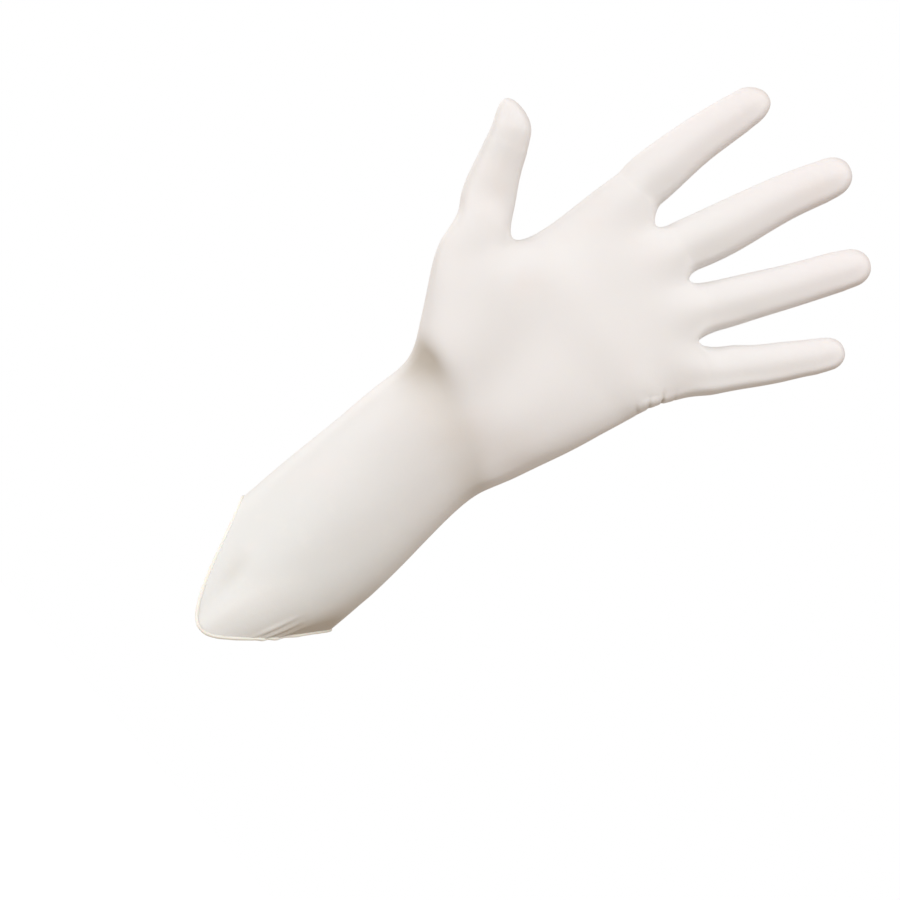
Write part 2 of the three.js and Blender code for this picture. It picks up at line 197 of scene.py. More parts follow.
# The stalls: a place on each one's middle line, its direction in X and Z, half its width, the length of its
# round end, how blunt that end is (2 is half an ellipse), and how far its tip bends aside. Lengths in mm.
STALL_COLUMNS = ("name", "x", "z", "along_x", "along_z", "half_width", "cap", "power", "bend")
STALLS = (
    ("index", -19.7, 136.0, 0.05, 1.0, 9.5, 9.5, 1.9, 1.2),
    ("middle", 13.7, 134.0, 0.23, 0.97, 9.5, 8.5, 2.0, 0.0),
    ("ring", 40.6, 123.0, 0.43, 0.9, 9.0, 8.0, 2.0, 0.0),
    ("little", 60.5, 105.0, 0.53, 0.85, 8.5, 7.2, 2.0, 0.0),
    ("thumb", -60.2, 76.8, -0.48, 0.88, 11.0, 14.0, 2.0, -4.6),
)
# Soft lights, placed as the camera sees them: metres to the right, up and back towards the camera.
LIGHT_COLUMNS = ("name", "right", "up", "back", "size", "power")
LIGHTS = (
    ("key", 1.1, 1.1, 1.5, 1.4, 25.5),
    ("side", -1.8, 0.7, 0.9, 1.4, 20.5),
    ("rim", -1.0, 1.3, -1.4, 1.4, 11.0),
)
LIGHT_COLOUR = (0.95, 0.975, 1.0)
SURROUND_COLOUR = (1.0, 0.86, 0.73)
# Zones of the film that get a finer mesh for their folds: x and z limits in mm, on the palm side.
FINE_ZONES = ((-22, 28, -119, -76), (36, 53, 54, 75), (-33, -8, 0, 19))

# Palm and back are evened from the lower cuff up to the roots of the stalls, without the thumb's stall. That
# sets in and ends over these stretches of Z, in mm, and is worked out for batches of so many points.
EVEN_FROM = (-92, -78)
EVEN_UNTIL = (112, 134)
EVEN_BATCH = 400
# The four stalls' roots lie in a slanting row between these limits, the thumb's round this place. In mm.
ROOT_ROW = (94, 116)
ROOT_SLANT = 0.35
THUMB_ROOT = (-57, 56)
THUMB_ROOT_REACH = 8
# How far beyond half a stall's width its points are looked for, in mm.
STALL_MARGIN = 3.0
# A round end takes its width and depth from a slab of the stall that reaches so many mm each way, sets in
# over this share of its length, and is smoothed from so many mm before its start.
CAP_SLAB = 1.2
CAP_BLEND = 0.35
CAP_EASE = 4
# The end of a bent stall turns with it, so it comes down by this share of the bend.
BEND_DROP = 0.27
# The film stands out less on the stalls than on the palm, and less on the thumb side than on the other.
STALL_THINNING = 0.4
THUMB_SIDE_THINNING = 0.3
# The nail forms: height, distance of the middle from the tip and half the length in mm, half the width as a
# share of the stall's.
NAIL_HEIGHT = 0.42
NAIL_FROM_TIP = 9.0
NAIL_HALF_LENGTH = 6.2
NAIL_HALF_WIDTH = 0.52
# A curve's relief has faded out at this many times its reach.
CURVE_MARGIN = 2.6
# How far the painted shade in an edge crease reaches, in mm.
EDGE_PAINTED_SHADE_REACH = 0.65
# The slow unevenness: lumps for each metre.
SLACK_SCALE = 55.0
# The bead's radius wavers by these shares, in lumps (so many for each metre) and in ripples along it.
BEAD_LUMPS = 0.12
BEAD_LUMP_SCALE = 300.0
BEAD_RIPPLES = 0.05

# Patterns in the latex: size of the lumps in mm, detail and roughness of the noise.
CLOUDS = (28.0, 3.0, 0.5)
MOTTLE = (6.0, 4.0, 0.6)
GRAIN = (0.55, 3.0, 0.6)
PORES = (0.16, 2.0, 0.5)
BEAD_LAYERS = (0.5, 2.0, 0.5)
BEAD_MOTTLE = (4.0, 3.0, 0.5)
PAPER_FIBRES = (2.5, 3.0, 0.5)
CLOUD_COLOUR = (0.85, 0.80, 0.785)
MOTTLE_COLOUR = (0.86, 0.845, 0.825)
# The colour of the painted highlight at the pull.
PAINTED_HIGHLIGHT_COLOUR = (0.87, 0.88, 0.875)
BEAD_COLOURS = ((0.87, 0.865, 0.81), (0.91, 0.905, 0.86))
# Where the fingertip colour sets in and where the cuff colour ends, in mm along the glove.
TIP_ZONE = (118.0, 172.0)
CUFF_ZONE = (-95.0, 20.0)
# How strongly the painted shade and the painted highlight change the colour, and how much smoother the film
# is under the painted highlight.
PAINTED_SHADE_SHARE = 0.65
PAINTED_HIGHLIGHT_SHARE = 0.7
PAINTED_HIGHLIGHT_GLOSS = 0.14
# The floor, in metres.
FLOOR_SIZE = 14.0
FLOOR_HEIGHT = -0.9
WHITE = (1.0, 1.0, 1.0, 1.0)


def record(columns, rows):
    """One dictionary for each row of a table."""
    return [dict(zip(columns, row)) for row in rows]


def rise(values, low, high):
    """0 below low, 1 above high, straight between."""
    return np.clip((values - low) / (high - low), 0, 1)


class GloveShape(bpy.types.PropertyGroup):
    """Sizes of the film and its bead."""

    film_thickness: FloatProperty(
        name="Film thickness",
        description="Wall of the latex film",
        default=0.3 * MM,
        unit="LENGTH",
    )
    bead_radius: FloatProperty(
        name="Bead radius",
        description="Radius of the rolled bead round the mouth",
        default=0.6 * MM,
        unit="LENGTH",
    )
    fold_strength: FloatProperty(
        name="Fold strength",
        description="How strongly the folds and creases stand out",
        default=1.0,
        min=0.0,
        max=2.0,
        subtype="FACTOR",
    )
    fullness: FloatProperty(
        name="Fullness",
        description="How far the film stands out between the middle and the edges of the palm and cuff",
        default=2.2 * MM,
        unit="LENGTH",
    )
    slack: FloatProperty(
        name="Slack",
        description="Height of the slow unevenness of the stretched film",
        default=0.05 * MM,
        unit="LENGTH",
    )


class GloveFinish(bpy.types.PropertyGroup):
    """Colours and surface of the latex."""

    film_colour: FloatVectorProperty(
        name="Film colour",
        description="Cream colour of the film on the palm",
        default=(0.838, 0.828, 0.833),
        subtype="COLOR",
    )
    cuff_colour: FloatVectorProperty(
        name="Cuff colour",
        description="Cooler colour of the film towards the mouth",
        default=(0.765, 0.784, 0.787),
        subtype="COLOR",
    )
    tip_colour: FloatVectorProperty(
        name="Fingertip colour",
        description="Warmer colour where the film is stretched thin on the fingertips",
        default=(0.855, 0.828, 0.838),
        subtype="COLOR",
    )
    # Painted shade: this browner colour is painted in creases and in the shaded zones of the film.
    painted_shade_colour: FloatVectorProperty(
        name="Crease colour",
        description="Browner colour where the film bunches in creases",
        default=(0.37, 0.31, 0.225),
        subtype="COLOR",
    )
    roughness: FloatProperty(
        name="Roughness",
        description="Roughness of the matt film",
        default=0.5,
        min=0.0,
        max=1.0,
        subtype="FACTOR",
    )


class GloveStage(bpy.types.PropertyGroup):
    """Camera, floor and lights."""

    camera_distance: FloatProperty(
        name="Camera distance",
        description="Distance from the camera to the glove's middle plane",
        default=1.5,
        unit="LENGTH",
    )
    frame_width: FloatProperty(
        name="Frame width",
        description="Width of the picture at the glove's middle plane",
        default=0.3317,
        unit="LENGTH",
    )
    light_power: FloatProperty(
        name="Light power",
        description="Factor on the power of all soft lights",
        default=1.04,
        min=0.0,
    )
    surround_strength: FloatProperty(
        name="Surround strength",
        description="Strength of the even warm light that fills the shadows",
        default=0.5,
        min=0.0,
    )
    backdrop_colour: FloatVectorProperty(
        name="Backdrop colour",
        description="Colour of the floor and the backdrop",
        default=(0.95, 0.95, 0.95),
        subtype="COLOR",
    )


class Value:
    """A shader socket that takes part in arithmetic; each operator adds its Math node."""

    def __init__(self, tree, socket):
        self.tree = tree
        self.socket = socket

    def math(self, operation, *others):
        node = self.tree.add("ShaderNodeMath", {"operation": operation}, [self, *others])
        return Value(self.tree, node.outputs[0])

    def reflected(self, operation, other):
        node = self.tree.add("ShaderNodeMath", {"operation": operation}, [other, self])
        return Value(self.tree, node.outputs[0])

    def __add__(self, other):
        return self.math("ADD", other)

    def __radd__(self, other):
        return self.reflected("ADD", other)

    def __sub__(self, other):
        return self.math("SUBTRACT", other)

    def __rsub__(self, other):
        return self.reflected("SUBTRACT", other)

    def __mul__(self, other):
        return self.math("MULTIPLY", other)

    def __rmul__(self, other):
        return self.reflected("MULTIPLY", other)


class Finish:
    """A material under construction: its Principled shader and the nodes that feed it."""

    def __init__(self, name):
        self.material = bpy.data.materials.new(name)
        self.material.use_nodes = True
        self.tree = self.material.node_tree
        self.shader = next(n for n in self.tree.nodes if n.type == "BSDF_PRINCIPLED")
        self.coordinates = self.add("ShaderNodeTexCoord", {}, []).outputs["Object"]

    def add(self, kind, settings, values):
        """Adds a node: its settings first, then a value or link for each socket, by place or by name."""
        node = self.tree.nodes.new(kind)
        for key, setting in settings.items():
            setattr(node, key, setting)
        pairs = values.items() if isinstance(values, dict) else enumerate(values)
        for key, value in pairs:
            self.feed(node.inputs[key], value)
        return node

    def feed(self, socket, value):
        if isinstance(value, Value):
            value = value.socket
        if isinstance(value, bpy.types.NodeSocket):
            self.tree.links.new(value, socket)
        else:
            socket.default_value = value

    def value(self, socket):
        return Value(self, socket)

    def axes(self):
        """The place on the piece in mm, as three values."""
        split = self.add("ShaderNodeSeparateXYZ", {}, [self.coordinates])
        return [self.value(out) * 1000.0 for out in split.outputs]

    def attribute(self, name):
        """A value stored on the mesh's points."""
        return self.value(self.add("ShaderNodeAttribute", {"attribute_name": name}, []).outputs["Fac"])

    def noise(self, size, detail, roughness):
        """Noise from 0 to 1 whose lumps are about size mm across."""
        scale = [1000.0 / size] * 3
        mapped = self.add("ShaderNodeMapping", {}, {"Vector": self.coordinates, "Scale": scale})
        inputs = {"Vector": mapped.outputs[0], "Scale": 1.0, "Detail": detail, "Roughness": roughness}
        return self.value(self.add("ShaderNodeTexNoise", {}, inputs).outputs["Fac"])

    def ramp(self, value, low, high):
        """0 below low, 1 above high, smooth between."""
        inputs = {"Value": value, "From Min": low, "From Max": high}
        node = self.add("ShaderNodeMapRange", {"interpolation_type": "SMOOTHSTEP"}, inputs)
        return self.value(node.outputs[0])

    def mix(self, factor, first, second):
        inputs = {0: factor, 6: self.colour(first), 7: self.colour(second)}
        return self.add("ShaderNodeMix", {"data_type": "RGBA"}, inputs).outputs[2]

    def colour(self, value):
        return value if isinstance(value, bpy.types.NodeSocket) else (*value, 1.0)

    def bump(self, height, distance, strength):
        inputs = {"Height": height, "Distance": distance, "Strength": strength}
        self.feed(self.shader.inputs["Normal"], self.add("ShaderNodeBump", {}, inputs).outputs[0])

    def set(self, inputs):
        for name, value in inputs.items():
            self.feed(self.shader.inputs[name], value)


def film_finish(settings):
    """Matt cream latex: cooler to the cuff, warmer at the fingertips, faintly clouded and grained, with
    painted shade in creases and shaded zones and a painted highlight at the pull.
    """
    finish = Finish("latex_film")
    x, _, z = finish.axes()
    cloud = finish.noise(*CLOUDS)
    mottle = finish.noise(*MOTTLE)
    grain = finish.noise(*GRAIN)
    pores = finish.noise(*PORES)

    # Across the fingers the distance from the palm grows with both X and Z; the thumb is nearer.
    reach = z + (x * -0.9).math("MAXIMUM", x * 0.55) * 0.75
    tips = finish.ramp(reach + (cloud - 0.5) * 16.0, *TIP_ZONE)
    cuff = 1.0 - finish.ramp(z + (cloud - 0.5) * 30.0, *CUFF_ZONE)
    colour = finish.mix(cuff, tuple(settings.film_colour), tuple(settings.cuff_colour))
    colour = finish.mix(tips, colour, tuple(settings.tip_colour))
    warm = finish.ramp(cloud, 0.52, 0.78) * 0.5
    colour = finish.mix(warm, colour, CLOUD_COLOUR)
    pale = finish.ramp(mottle, 0.5, 0.85) * 0.35
    colour = finish.mix(pale, colour, MOTTLE_COLOUR)
    # Painted shade in creases and shaded zones, and a painted highlight on the lit crest of the pull, where
    # the film is also smoother.
    painted_shade_mask, highlight_and_gloss = finish.attribute("painted_shade"), finish.attribute("painted_highlight_and_gloss")
    colour = finish.mix(painted_shade_mask * PAINTED_SHADE_SHARE, colour, tuple(settings.painted_shade_colour))
    colour = finish.mix(highlight_and_gloss * PAINTED_HIGHLIGHT_SHARE, colour, PAINTED_HIGHLIGHT_COLOUR)
    roughness = settings.roughness + (mottle - 0.5) * 0.16 + (grain - 0.5) * 0.08 - highlight_and_gloss * PAINTED_HIGHLIGHT_GLOSS
    finish.set(
        {
            "Base Color": colour,
            "Roughness": roughness,
            "Subsurface Weight": 0.12,
            "Subsurface Scale": 0.0012,
            "Subsurface Radius": (1.0, 0.7, 0.5),
            "Specular IOR Level": 0.42,
            "Sheen Weight": 0.06,
            "Sheen Roughness": 0.5,
        }
    )
    finish.bump(grain * 0.7 + pores * 0.3, 0.00006, 0.55)
    return finish.material


def bead_finish(settings):
    """The rolled bead: the same latex in many layers, paler and a little smoother, with its roll lines."""
    finish = Finish("latex_bead")
    layers = finish.noise(*BEAD_LAYERS)
    mottle = finish.noise(*BEAD_MOTTLE)
    pale = finish.ramp(mottle, 0.3, 0.8)
    colour = finish.mix(pale, *BEAD_COLOURS)
    finish.set(
        {
            "Base Color": colour,
            "Roughness": settings.roughness - 0.08 + (mottle - 0.5) * 0.12,
            "Subsurface Weight": 0.15,
            "Subsurface Scale": 0.0012,
            "Specular IOR Level": 0.45,
        }
    )
    finish.bump(layers, 0.00005, 0.35)
    return finish.material


def floor_finish(settings):
    """Pale seamless paper, lit so evenly that it runs into the white behind it."""
    finish = Finish("backdrop_paper")
    fibre = finish.ramp(finish.noise(*PAPER_FIBRES), 0.3, 0.7)
    tone = tuple(settings.backdrop_colour)
    colour = finish.mix(fibre, tone, tuple(min(1.0, c * 1.01) for c in tone))
    finish.set({"Base Color": colour, "Roughness": 0.9, "Emission Color": colour, "Emission Strength": 1.1})
    return finish.material


def only(obj):
    """Selects obj alone and makes it active."""
    bpy.ops.object.select_all(action="DESELECT")
    obj.select_set(True)
    bpy.context.view_layer.objects.active = obj


def edit(obj, *steps):
    """Runs edit-mode operators on all of obj."""
    only(obj)
    bpy.ops.object.mode_set(mode="EDIT")
    bpy.ops.mesh.select_all(action="SELECT")
    for step in steps:
        step()
    bpy.ops.object.mode_set(mode="OBJECT")


def positions(mesh):
    """The places of the mesh's vertices, one row each, in metres."""
    points = np.empty(len(mesh.vertices) * 3)
    mesh.vertices.foreach_get("co", points)
    return points.reshape(-1, 3)


def outer_surface(name):
    """A new mesh of the CAD glove's outer side as four-sided faces, without its wall and bead."""
    source = frame["nodes"]["glove"]
    film = bpy.data.objects.new(name, source.data.copy())
    bpy.context.scene.collection.objects.link(film)
    film.data.materials.clear()
    edit(film, lambda: bpy.ops.mesh.remove_doubles(threshold=0.01 * MM))
    mesh = bmesh.new()
    mesh.from_mesh(film.data)
    # On the regular bead every vertex has six edges; the film near the mouth has four, or eight.
    bead = [v for v in mesh.verts if v.co.z < BEAD_BELOW and len(v.link_edges) == 6]
    bmesh.ops.delete(mesh, geom=bead, context="VERTS")
    top = max(mesh.verts, key=lambda v: v.co.z)
    outside, front = {top}, [top]
    while front:
        for edge in front.pop().link_edges:
            for v in edge.verts:
                if v not in outside:
                    outside.add(v)
                    front.append(v)
    bmesh.ops.delete(mesh, geom=[v for v in mesh.verts if v not in outside], context="VERTS")
    # The middles of the cage's edges have four neighbours (three at the mouth) and no diagonal.
    plain = {v for v in mesh.verts if len(v.link_edges) <= (3 if v.is_boundary else 4)}
    diagonals = [e for e in mesh.edges if not plain.intersection(e.verts)]
    bmesh.ops.dissolve_edges(mesh, edges=diagonals, use_verts=False)
    if any(len(face.verts) != 4 for face in mesh.faces):
        raise RuntimeError("the outer film did not come back as four-sided faces")
    mesh.to_mesh(film.data)
    mesh.free()
    return film


def fit_cage(obj, passes=4):
    """Moves the vertices outwards so that the subdivided surface passes through where they were."""
    mesh = bmesh.new()
    mesh.from_mesh(obj.data)
    verts = list(mesh.verts)
    target = {v: v.co.copy() for v in verts}
    for _ in range(passes):
        reached = {}
        for v in verts:
            if v.is_boundary:
                ends = [e.other_vert(v).co for e in v.link_edges if e.is_boundary]
                reached[v] = (ends[0] + ends[1] + 4 * v.co) / 6
                continue
            n = len(v.link_edges)
            near = sum((e.other_vert(v).co for e in v.link_edges), Vector())
            far = Vector()
            for loop in v.link_loops:
                far += loop.link_loop_next.link_loop_next.vert.co
            reached[v] = (v.co * n * n + near * 4 + far) / (n * (n + 5))
        for v in verts:
            v.co += target[v] - reached[v]
    mesh.to_mesh(obj.data)
    mesh.free()


def apply_modifier(obj, kind, **settings):
    only(obj)
    modifier = obj.modifiers.new(kind.title(), kind)
    for key, value in settings.items():
        setattr(modifier, key, value)
    bpy.ops.object.modifier_apply(modifier=modifier.name)


def refine_zones(obj):
    """Halves the faces of the palm side inside the fine zones."""

    def inside(face):
        x, z = face.center.x / MM, face.center.z / MM
        return face.normal.y < 0.3 and any(a < x < b and c < z < d for a, b, c, d in FINE_ZONES)

    edit(obj, lambda: bpy.ops.mesh.select_all(action="DESELECT"))
    for face in obj.data.polygons:
        face.select = inside(face)
    only(obj)
    bpy.ops.object.mode_set(mode="EDIT")
    bpy.ops.mesh.select_mode(type="FACE")
    bpy.ops.mesh.subdivide(number_cuts=1, smoothness=0.0)
    bpy.ops.object.mode_set(mode="OBJECT")


def normals_of(mesh):
    """The normals at the mesh's vertices, one row each."""
    normals = np.empty(len(mesh.vertices) * 3)
    mesh.vertex_normals.foreach_get("vector", normals)
    return normals.reshape(-1, 3)


def place(mesh, points):
    """Moves the vertices to these places."""
    mesh.vertices.foreach_set("co", points.ravel())
    mesh.update()


def even_sides(obj, points, normals, reach=7.0):
    """Evens palm and back, where the film bridges small forms: Y follows a local best fit to the points."""
    fine, facings = positions(obj.data) / MM, normals_of(obj.data)[:, 1]
    x, z = fine[:, 0], fine[:, 2]
    free = rise(z, *EVEN_FROM) * (1 - rise(z + x.clip(0) * 0.5, *EVEN_UNTIL))
    free *= 1 - rise(z, 58, 72) * rise(-x, 40, 48)
    for side in (-1, 1):
        sheet = points[side * normals[:, 1] > 0.3]
        share = rise(side * facings, 0.6, 1.0) * free
        picked = np.flatnonzero(share > 0)
        for part in np.array_split(picked, max(1, len(picked) // EVEN_BATCH)):
            dx = (sheet[:, 0] - fine[part, 0, None]) / reach
            dz = (sheet[:, 2] - fine[part, 2, None]) / reach
            weight = np.exp(-(dx**2) - dz**2)
            terms = np.stack((np.ones_like(dx), dx, dz, dx**2, dx * dz, dz**2), axis=2)
            weighted = (terms * weight[:, :, None]).transpose(0, 2, 1)
            fit = np.linalg.solve(weighted @ terms + np.eye(6) * 1e-7, weighted @ sheet[:, 1, None])
            fine[part, 1] += share[part] * (fit[:, 0, 0] - fine[part, 1])
    place(obj.data, fine * MM)


def relax(obj, picked, repeat):
    """Smooths the picked vertices by steps."""
    edit(obj, lambda: bpy.ops.mesh.select_all(action="DESELECT"))
    obj.data.vertices.foreach_set("select", picked)
    only(obj)
    bpy.ops.object.mode_set(mode="EDIT")
    bpy.ops.mesh.vertices_smooth(factor=0.5, repeat=repeat)
    bpy.ops.object.mode_set(mode="OBJECT")


def ease_roots(obj):
    """Takes the last lines out of the film where the stalls leave the palm, by less and less outwards."""
    for grow in (6.0, 4.0, 2.0, 0.0):
        x, z = (positions(obj.data) / MM)[:, [0, 2]].T
        facings = np.abs(normals_of(obj.data)[:, 1])
        level = z + x.clip(0) * ROOT_SLANT
        row = (facings > 0.35) & (level > ROOT_ROW[0] - grow) & (level < ROOT_ROW[1] + grow)
        thumb = np.hypot(x - THUMB_ROOT[0], z - THUMB_ROOT[1]) < THUMB_ROOT_REACH + grow
        relax(obj, row | thumb, repeat=3)


def along_stall(stall, x, z):
    """The stall's direction, how far along it and aside of it the points are, and which are its own."""
    length = math.hypot(stall["along_x"], stall["along_z"])
    cx, cz = stall["along_x"] / length, stall["along_z"] / length
    dx, dz = x - stall["x"], z - stall["z"]
    along, aside = dx * cx + dz * cz, dx * cz - dz * cx
    near = (np.abs(aside) < stall["half_width"] + STALL_MARGIN) & (along > 0)
    return cx, cz, along, aside, near


def round_tips(obj):
    """Rounds the stalls' ends: each runs into half an egg shape as wide and deep as the stall is there."""
    points = positions(obj.data) / MM
    rounded = np.zeros(len(points), bool)
    for stall in record(STALL_COLUMNS, STALLS):
        cx, cz, along, aside, near = along_stall(stall, points[:, 0], points[:, 2])
        start = along[near].max() - stall["cap"]
        slab = near & (np.abs(along - start) < CAP_SLAB)
        sizes = []
        for values in (aside[slab], points[slab, 1]):
            sizes.append(((values.max() + values.min()) / 2, (values.max() - values.min()) / 2))
        (middle, half), (level, depth) = sizes
        cap = near & (along > start)
        rounded |= near & (along > start - CAP_EASE)
        u, v = (along[cap] - start) / stall["cap"], (aside[cap] - middle) / half
        w = (points[cap, 1] - level) / depth
        blend = rise(u, 0, CAP_BLEND) ** 2 * (3 - 2 * rise(u, 0, CAP_BLEND))
        power = stall["power"]
        factor = 1 + blend * ((u**power + np.hypot(v, w) ** power) ** (-1 / power) - 1)
        far, wide = start + stall["cap"] * u * factor, middle + half * v * factor
        bent = stall["bend"] * blend * (u * factor) ** 2
        far, wide = far - BEND_DROP * np.abs(bent), wide + bent
        points[cap, 0] = stall["x"] + far * cx + wide * cz
        points[cap, 1] = level + depth * w * factor
        points[cap, 2] = stall["z"] + far * cz - wide * cx
    place(obj.data, points * MM)
    relax(obj, rounded, repeat=10)


def fill_out(obj, fullness):
    """Pushes the film out between the middle and the edges, so that it is flat and turns late."""
    points, normals = positions(obj.data), normals_of(obj.data)
    x, z = points[:, 0] / MM, points[:, 2] / MM
    thumb = rise(z, 45, 65) * rise(-x, 38, 46)
    stalls = np.maximum(rise(z, 80, 110), thumb)
    tilt = np.clip(1 - normals[:, 1] ** 2, 0, 1)
    # The factor 27 / 4 brings the highest value of the curve in tilt to 1.
    out = tilt**2 * (1 - tilt) * 27 / 4 * fullness * (1 - STALL_THINNING * stalls)
    out *= 1 - THUMB_SIDE_THINNING * (1 - np.clip(normals[:, 0] * 2, -1, 1))
    points[:, 1] += out * np.sign(normals[:, 1])
    place(obj.data, points)


def smooth_path(knots, steps=48):
    """Rows of a smooth curve through the knots, steps rows for each stretch between two of them."""
    knots = np.array(knots, float)
    ends = np.vstack((2 * knots[0] - knots[1], knots, 2 * knots[-1] - knots[-2]))
    t = np.linspace(0, 1, steps, endpoint=False)[:, None]
    rows = []
    for a, b, c, d in zip(ends, ends[1:], ends[2:], ends[3:]):
        rows.append(b + 0.5 * t * (c - a + t * (2 * a - 5 * b + 4 * c - d + t * (3 * (b - c) + d - a))))
    return np.vstack((*rows, knots[-1:]))


def curve_relief(x, z, knots):
    """Height in mm of a ridge or dent along the smooth curve through its knots."""
    path = smooth_path(knots)
    across, up, height, left, right = path.T
    margin = CURVE_MARGIN * max(left.max(), right.max())
    near = (x > across.min() - margin) & (x < across.max() + margin)
    near &= (z > up.min() - margin) & (z < up.max() + margin)
    dx, dz = x[near, None] - across, z[near, None] - up
    distance = dx * dx + dz * dz
    at = distance.argmin(axis=1)
    pick = np.arange(len(at))
    side = np.gradient(across)[at] * dz[pick, at] - np.gradient(up)[at] * dx[pick, at]
    reach = np.where(side > 0, left[at], right[at])
    relief = np.zeros_like(x)
    relief[near] = height[at] * np.exp(-distance[pick, at] / reach**2)
    return relief


def fold_knots(fold):
    """Knots of a thin fold through three places: highest beyond the middle one, fading out at both ends."""
    fold = dict(zip(FOLD_COLUMNS, fold))
    start, middle, end = (np.array((fold["x" + n], fold["z" + n])) for n in "012")
    crest = middle * 0.6 + end * 0.4
    knots = []
    for spot, share in ((start, 0.1), (middle, 0.4), (crest, 1.0), (end, 0.0)):
        knots.append((*spot, fold["height"] * share, fold["reach"], fold["reach"]))
    return knots


def nail_relief(x, z):
    """Height in mm of the nail forms on the back, near the end of each stall."""
    relief = np.zeros_like(x)
    for stall in record(STALL_COLUMNS, STALLS):
        _, _, along, aside, near = along_stall(stall, x, z)
        middle = along[near].max() - NAIL_FROM_TIP
        across = np.abs(aside) / (stall["half_width"] * NAIL_HALF_WIDTH)
        shape = (np.abs(along - middle) / NAIL_HALF_LENGTH) ** 4 + across**4
        relief += np.where(near, NAIL_HEIGHT * np.clip(1.25 - shape, 0, 1), 0)
    return relief


def shape_relief(obj, shape):
    """Moves the film along its normals for folds, creases, the back's forms and slow unevenness.

    The masks of the painted shade in creases and shaded zones, and of the painted highlight at the pull, are
    stored on its points for the material.
    """
    points, normals = positions(obj.data), normals_of(obj.data)
    x, z = (points / MM)[:, [0, 2]].T
    facing, behind = rise(-normals[:, 1], -0.2, 0.3), rise(normals[:, 1], 0.1, 0.6)
    curves = [WRIST_CREASE, PULL_ROLL, PULL_HOLLOW, PULL_SHOULDER, PALM_SHOULDER]
    curves += map(fold_knots, (*FAN_FOLDS, *EDGE_CREASES))
    height = sum(curve_relief(x, z, knots) for knots in curves) * facing
    back = sum(curve_relief(x, z, knots) for knots in (*BACK_RIDGES, *map(fold_knots, BACK_FOLDS)))
    for mound in record(MOUND_COLUMNS, BACK_MOUNDS):
        distance = (x - mound["x"]) ** 2 + (z - mound["z"]) ** 2
        back += mound["height"] * np.exp(-distance / mound["reach"] ** 2)
    height = (height + (back + nail_relief(x, z)) * behind) * shape.fold_strength * MM
    height += np.array([noise.noise(Vector(point) * SLACK_SCALE) for point in points]) * shape.slack
    place(obj.data, points + normals * height[:, None])
    # Painted shade along each edge crease, as strong as the crease is deep.
    edges = [fold_knots((*places, -depth, EDGE_PAINTED_SHADE_REACH)) for *places, depth, _ in EDGE_CREASES]
    # The painted shade mask gathers the crease, pull, hollow and edge-crease painted shade; the other mask
    # holds the painted highlight.
    painted_shade = (CREASE_PAINTED_SHADE, PULL_PAINTED_SHADE, HOLLOW_PAINTED_SHADE, *edges)
    for name, tints in (("painted_shade", painted_shade), ("painted_highlight_and_gloss", (PULL_PAINTED_HIGHLIGHT,))):
        share = sum(curve_relief(x, z, knots) for knots in tints) * facing
        obj.data.attributes.new(name, "FLOAT", "POINT").data.foreach_set("value", np.clip(share, 0, 1))


def mouth_loop(obj):
    """The film's open edge as a list of points in order."""
    mesh = bmesh.new()
    mesh.from_mesh(obj.data)
    start = next(v for v in mesh.verts if v.is_boundary)
    loop, before, here = [], None, start
    while True:
        loop.append(here.co.copy())
        ends = [e.other_vert(here) for e in here.link_edges if e.is_boundary]
        step = ends[0] if ends[0] != before else ends[1]
        before, here = here, step
        if here == start:
            break
    mesh.free()
    return loop


class GLOVE_OT_film(bpy.types.Operator):
    """Builds the dipped film: palm, back, fingers, thumb, wrist and cuff in one skin"""

    bl_idname = "glove.film"
    bl_label = "Film"

    def execute(self, context):
        shape = context.scene.glove_shape
        film = outer_surface("glove_film")
        points, normals = positions(film.data) / MM, normals_of(film.data)
        fit_cage(film)
        apply_modifier(film, "SUBSURF", levels=FILM_LEVELS, render_levels=FILM_LEVELS)
        even_sides(film, points, normals)
        ease_roots(film)
        round_tips(film)
        fill_out(film, shape.fullness)
        refine_zones(film)
        shape_relief(film, shape)
        film["mouth"] = [list(point) for point in mouth_loop(film)]
        apply_modifier(film, "SOLIDIFY", thickness=shape.film_thickness, offset=-1.0, use_even_offset=True)
        only(film)
        bpy.ops.object.shade_smooth()
        film.data.materials.append(film_finish(context.scene.glove_finish))
        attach(film, "root")
        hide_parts("glove")
        return {"FINISHED"}


class GLOVE_OT_bead(bpy.types.Operator):
    """Builds the rolled bead round the mouth of the cuff"""

    bl_idname = "glove.bead"
    bl_label = "Rolled bead"

    def execute(self, context):
        shape = context.scene.glove_shape
        film = bpy.data.objects["glove_film"]
        loop = [Vector(point) for point in film["mouth"]]
        del film["mouth"]
        curve = bpy.data.curves.new("glove_bead", "CURVE")
        curve.dimensions = "3D"
        spline = curve.splines.new("POLY")
        spline.points.add(len(loop) - 1)
        for i, (knot, point) in enumerate(zip(spline.points, loop)):
            knot.co = (*point, 1.0)
            lumps = BEAD_LUMPS * noise.noise(point * BEAD_LUMP_SCALE)
            knot.radius = 1.0 + lumps + BEAD_RIPPLES * math.sin(i * 0.7)
        spline.use_cyclic_u = True
        curve.bevel_depth = shape.bead_radius
        curve.bevel_resolution = 4
        bead = bpy.data.objects.new("glove_bead", curve)
        context.scene.collection.objects.link(bead)
        only(bead)
        bpy.ops.object.convert(target="MESH")
        edit(
            bead,
            lambda: bpy.ops.mesh.remove_doubles(threshold=0.001 * MM),
            lambda: bpy.ops.mesh.normals_make_consistent(inside=False),
        )
        only(bead)
        bpy.ops.object.shade_smooth()
        bead.data.materials.clear()
        bead.data.materials.append(bead_finish(context.scene.glove_finish))
        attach(bead, "root")
        return {"FINISHED"}


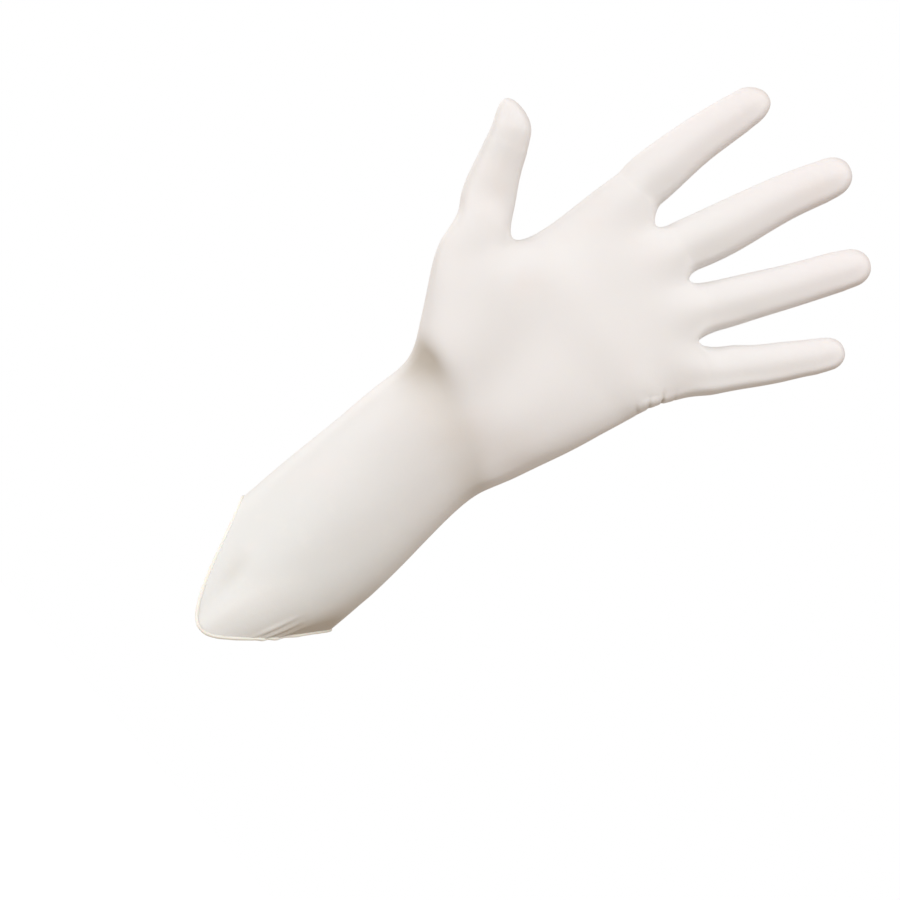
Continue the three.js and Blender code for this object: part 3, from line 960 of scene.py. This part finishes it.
class GLOVE_OT_stage(bpy.types.Operator):
    """Sets up the pale backdrop, the soft lights and the camera"""

    bl_idname = "glove.stage"
    bl_label = "Stage"

    def execute(self, context):
        stage = context.scene.glove_stage
        self.floor(stage)
        self.lights(stage)
        self.surround(context, stage)
        self.camera(context, stage)
        context.scene.view_settings.view_transform = "Standard"
        return {"FINISHED"}

    def floor(self, stage):
        """A pale floor well below the cuff. It throws no light back, so the lower edges stay in shade."""
        bpy.ops.object.select_all(action="DESELECT")
        bpy.ops.mesh.primitive_plane_add(size=FLOOR_SIZE, location=(0.0, 0.0, FLOOR_HEIGHT))
        floor = bpy.context.object
        floor.name = "floor"
        bpy.ops.object.transform_apply(location=True, rotation=True, scale=True)
        floor.data.materials.append(floor_finish(stage))
        floor.visible_diffuse = False
        floor.visible_glossy = False
        floor.visible_shadow = False

    def lights(self, stage):
        for light in record(LIGHT_COLUMNS, LIGHTS):
            lamp = bpy.data.lights.new(light["name"], "AREA")
            lamp.size = light["size"]
            lamp.energy = light["power"] * stage.light_power
            lamp.color = LIGHT_COLOUR
            holder = bpy.data.objects.new(light["name"], lamp)
            spot = AIM + VIEW_RIGHT * light["right"] + VIEW_UP * light["up"] + VIEW_BACK * light["back"]
            holder.location = spot
            holder.rotation_euler = (AIM - spot).to_track_quat("-Z", "Y").to_euler()
            holder.visible_camera = False
            bpy.context.scene.collection.objects.link(holder)

    def surround(self, context, stage):
        """The camera sees a white studio all round; the light that it gives is dimmer and warm."""
        world = bpy.data.worlds.new("studio_surround")
        world.use_nodes = True
        nodes, links = world.node_tree.nodes, world.node_tree.links
        fill = nodes["Background"]
        fill.inputs["Color"].default_value = (*SURROUND_COLOUR, 1.0)
        fill.inputs["Strength"].default_value = stage.surround_strength
        seen = nodes.new("ShaderNodeBackground")
        seen.inputs["Color"].default_value = WHITE
        mix = nodes.new("ShaderNodeMixShader")
        links.new(nodes.new("ShaderNodeLightPath").outputs["Is Camera Ray"], mix.inputs[0])
        links.new(fill.outputs[0], mix.inputs[1])
        links.new(seen.outputs[0], mix.inputs[2])
        links.new(mix.outputs[0], nodes["World Output"].inputs["Surface"])
        context.scene.world = world

    def camera(self, context, stage):
        lens = bpy.data.cameras.new("camera")
        lens.sensor_width = 36.0
        lens.lens = lens.sensor_width * stage.camera_distance / stage.frame_width
        lens.clip_end = 50.0
        camera = bpy.data.objects.new("camera", lens)
        spot = AIM + VIEW_BACK * stage.camera_distance
        turn = Matrix((VIEW_RIGHT, VIEW_UP, VIEW_BACK)).transposed()
        camera.matrix_world = Matrix.Translation(spot) @ turn.to_4x4()
        context.scene.collection.objects.link(camera)
        context.scene.camera = camera


class GLOVE_PT_panel(bpy.types.Panel):
    """Lists the glove's pieces and its settings"""

    bl_idname = "GLOVE_PT_panel"
    bl_label = "Latex glove"
    bl_space_type = "VIEW_3D"
    bl_region_type = "UI"
    bl_category = "Glove"

    def draw(self, context):
        for group in (context.scene.glove_shape, context.scene.glove_finish, context.scene.glove_stage):
            box = self.layout.box()
            for name in group.bl_rna.properties.keys():
                if name not in {"rna_type", "name"}:
                    box.prop(group, name)
        for operator in OPERATORS:
            self.layout.operator(operator.bl_idname)


OPERATORS = (GLOVE_OT_film, GLOVE_OT_bead, GLOVE_OT_stage)
GROUPS = {"glove_shape": GloveShape, "glove_finish": GloveFinish, "glove_stage": GloveStage}


def register():
    for cls in (*GROUPS.values(), *OPERATORS, GLOVE_PT_panel):
        bpy.utils.register_class(cls)
    for name, group in GROUPS.items():
        setattr(bpy.types.Scene, name, PointerProperty(type=group))


def unregister():
    for name in GROUPS:
        delattr(bpy.types.Scene, name)
    for cls in reversed((*GROUPS.values(), *OPERATORS, GLOVE_PT_panel)):
        bpy.utils.unregister_class(cls)


def main():
    register()
    bpy.ops.glove.film()
    bpy.ops.glove.bead()
    bpy.ops.glove.stage()


if __name__ == "__main__":
    main()
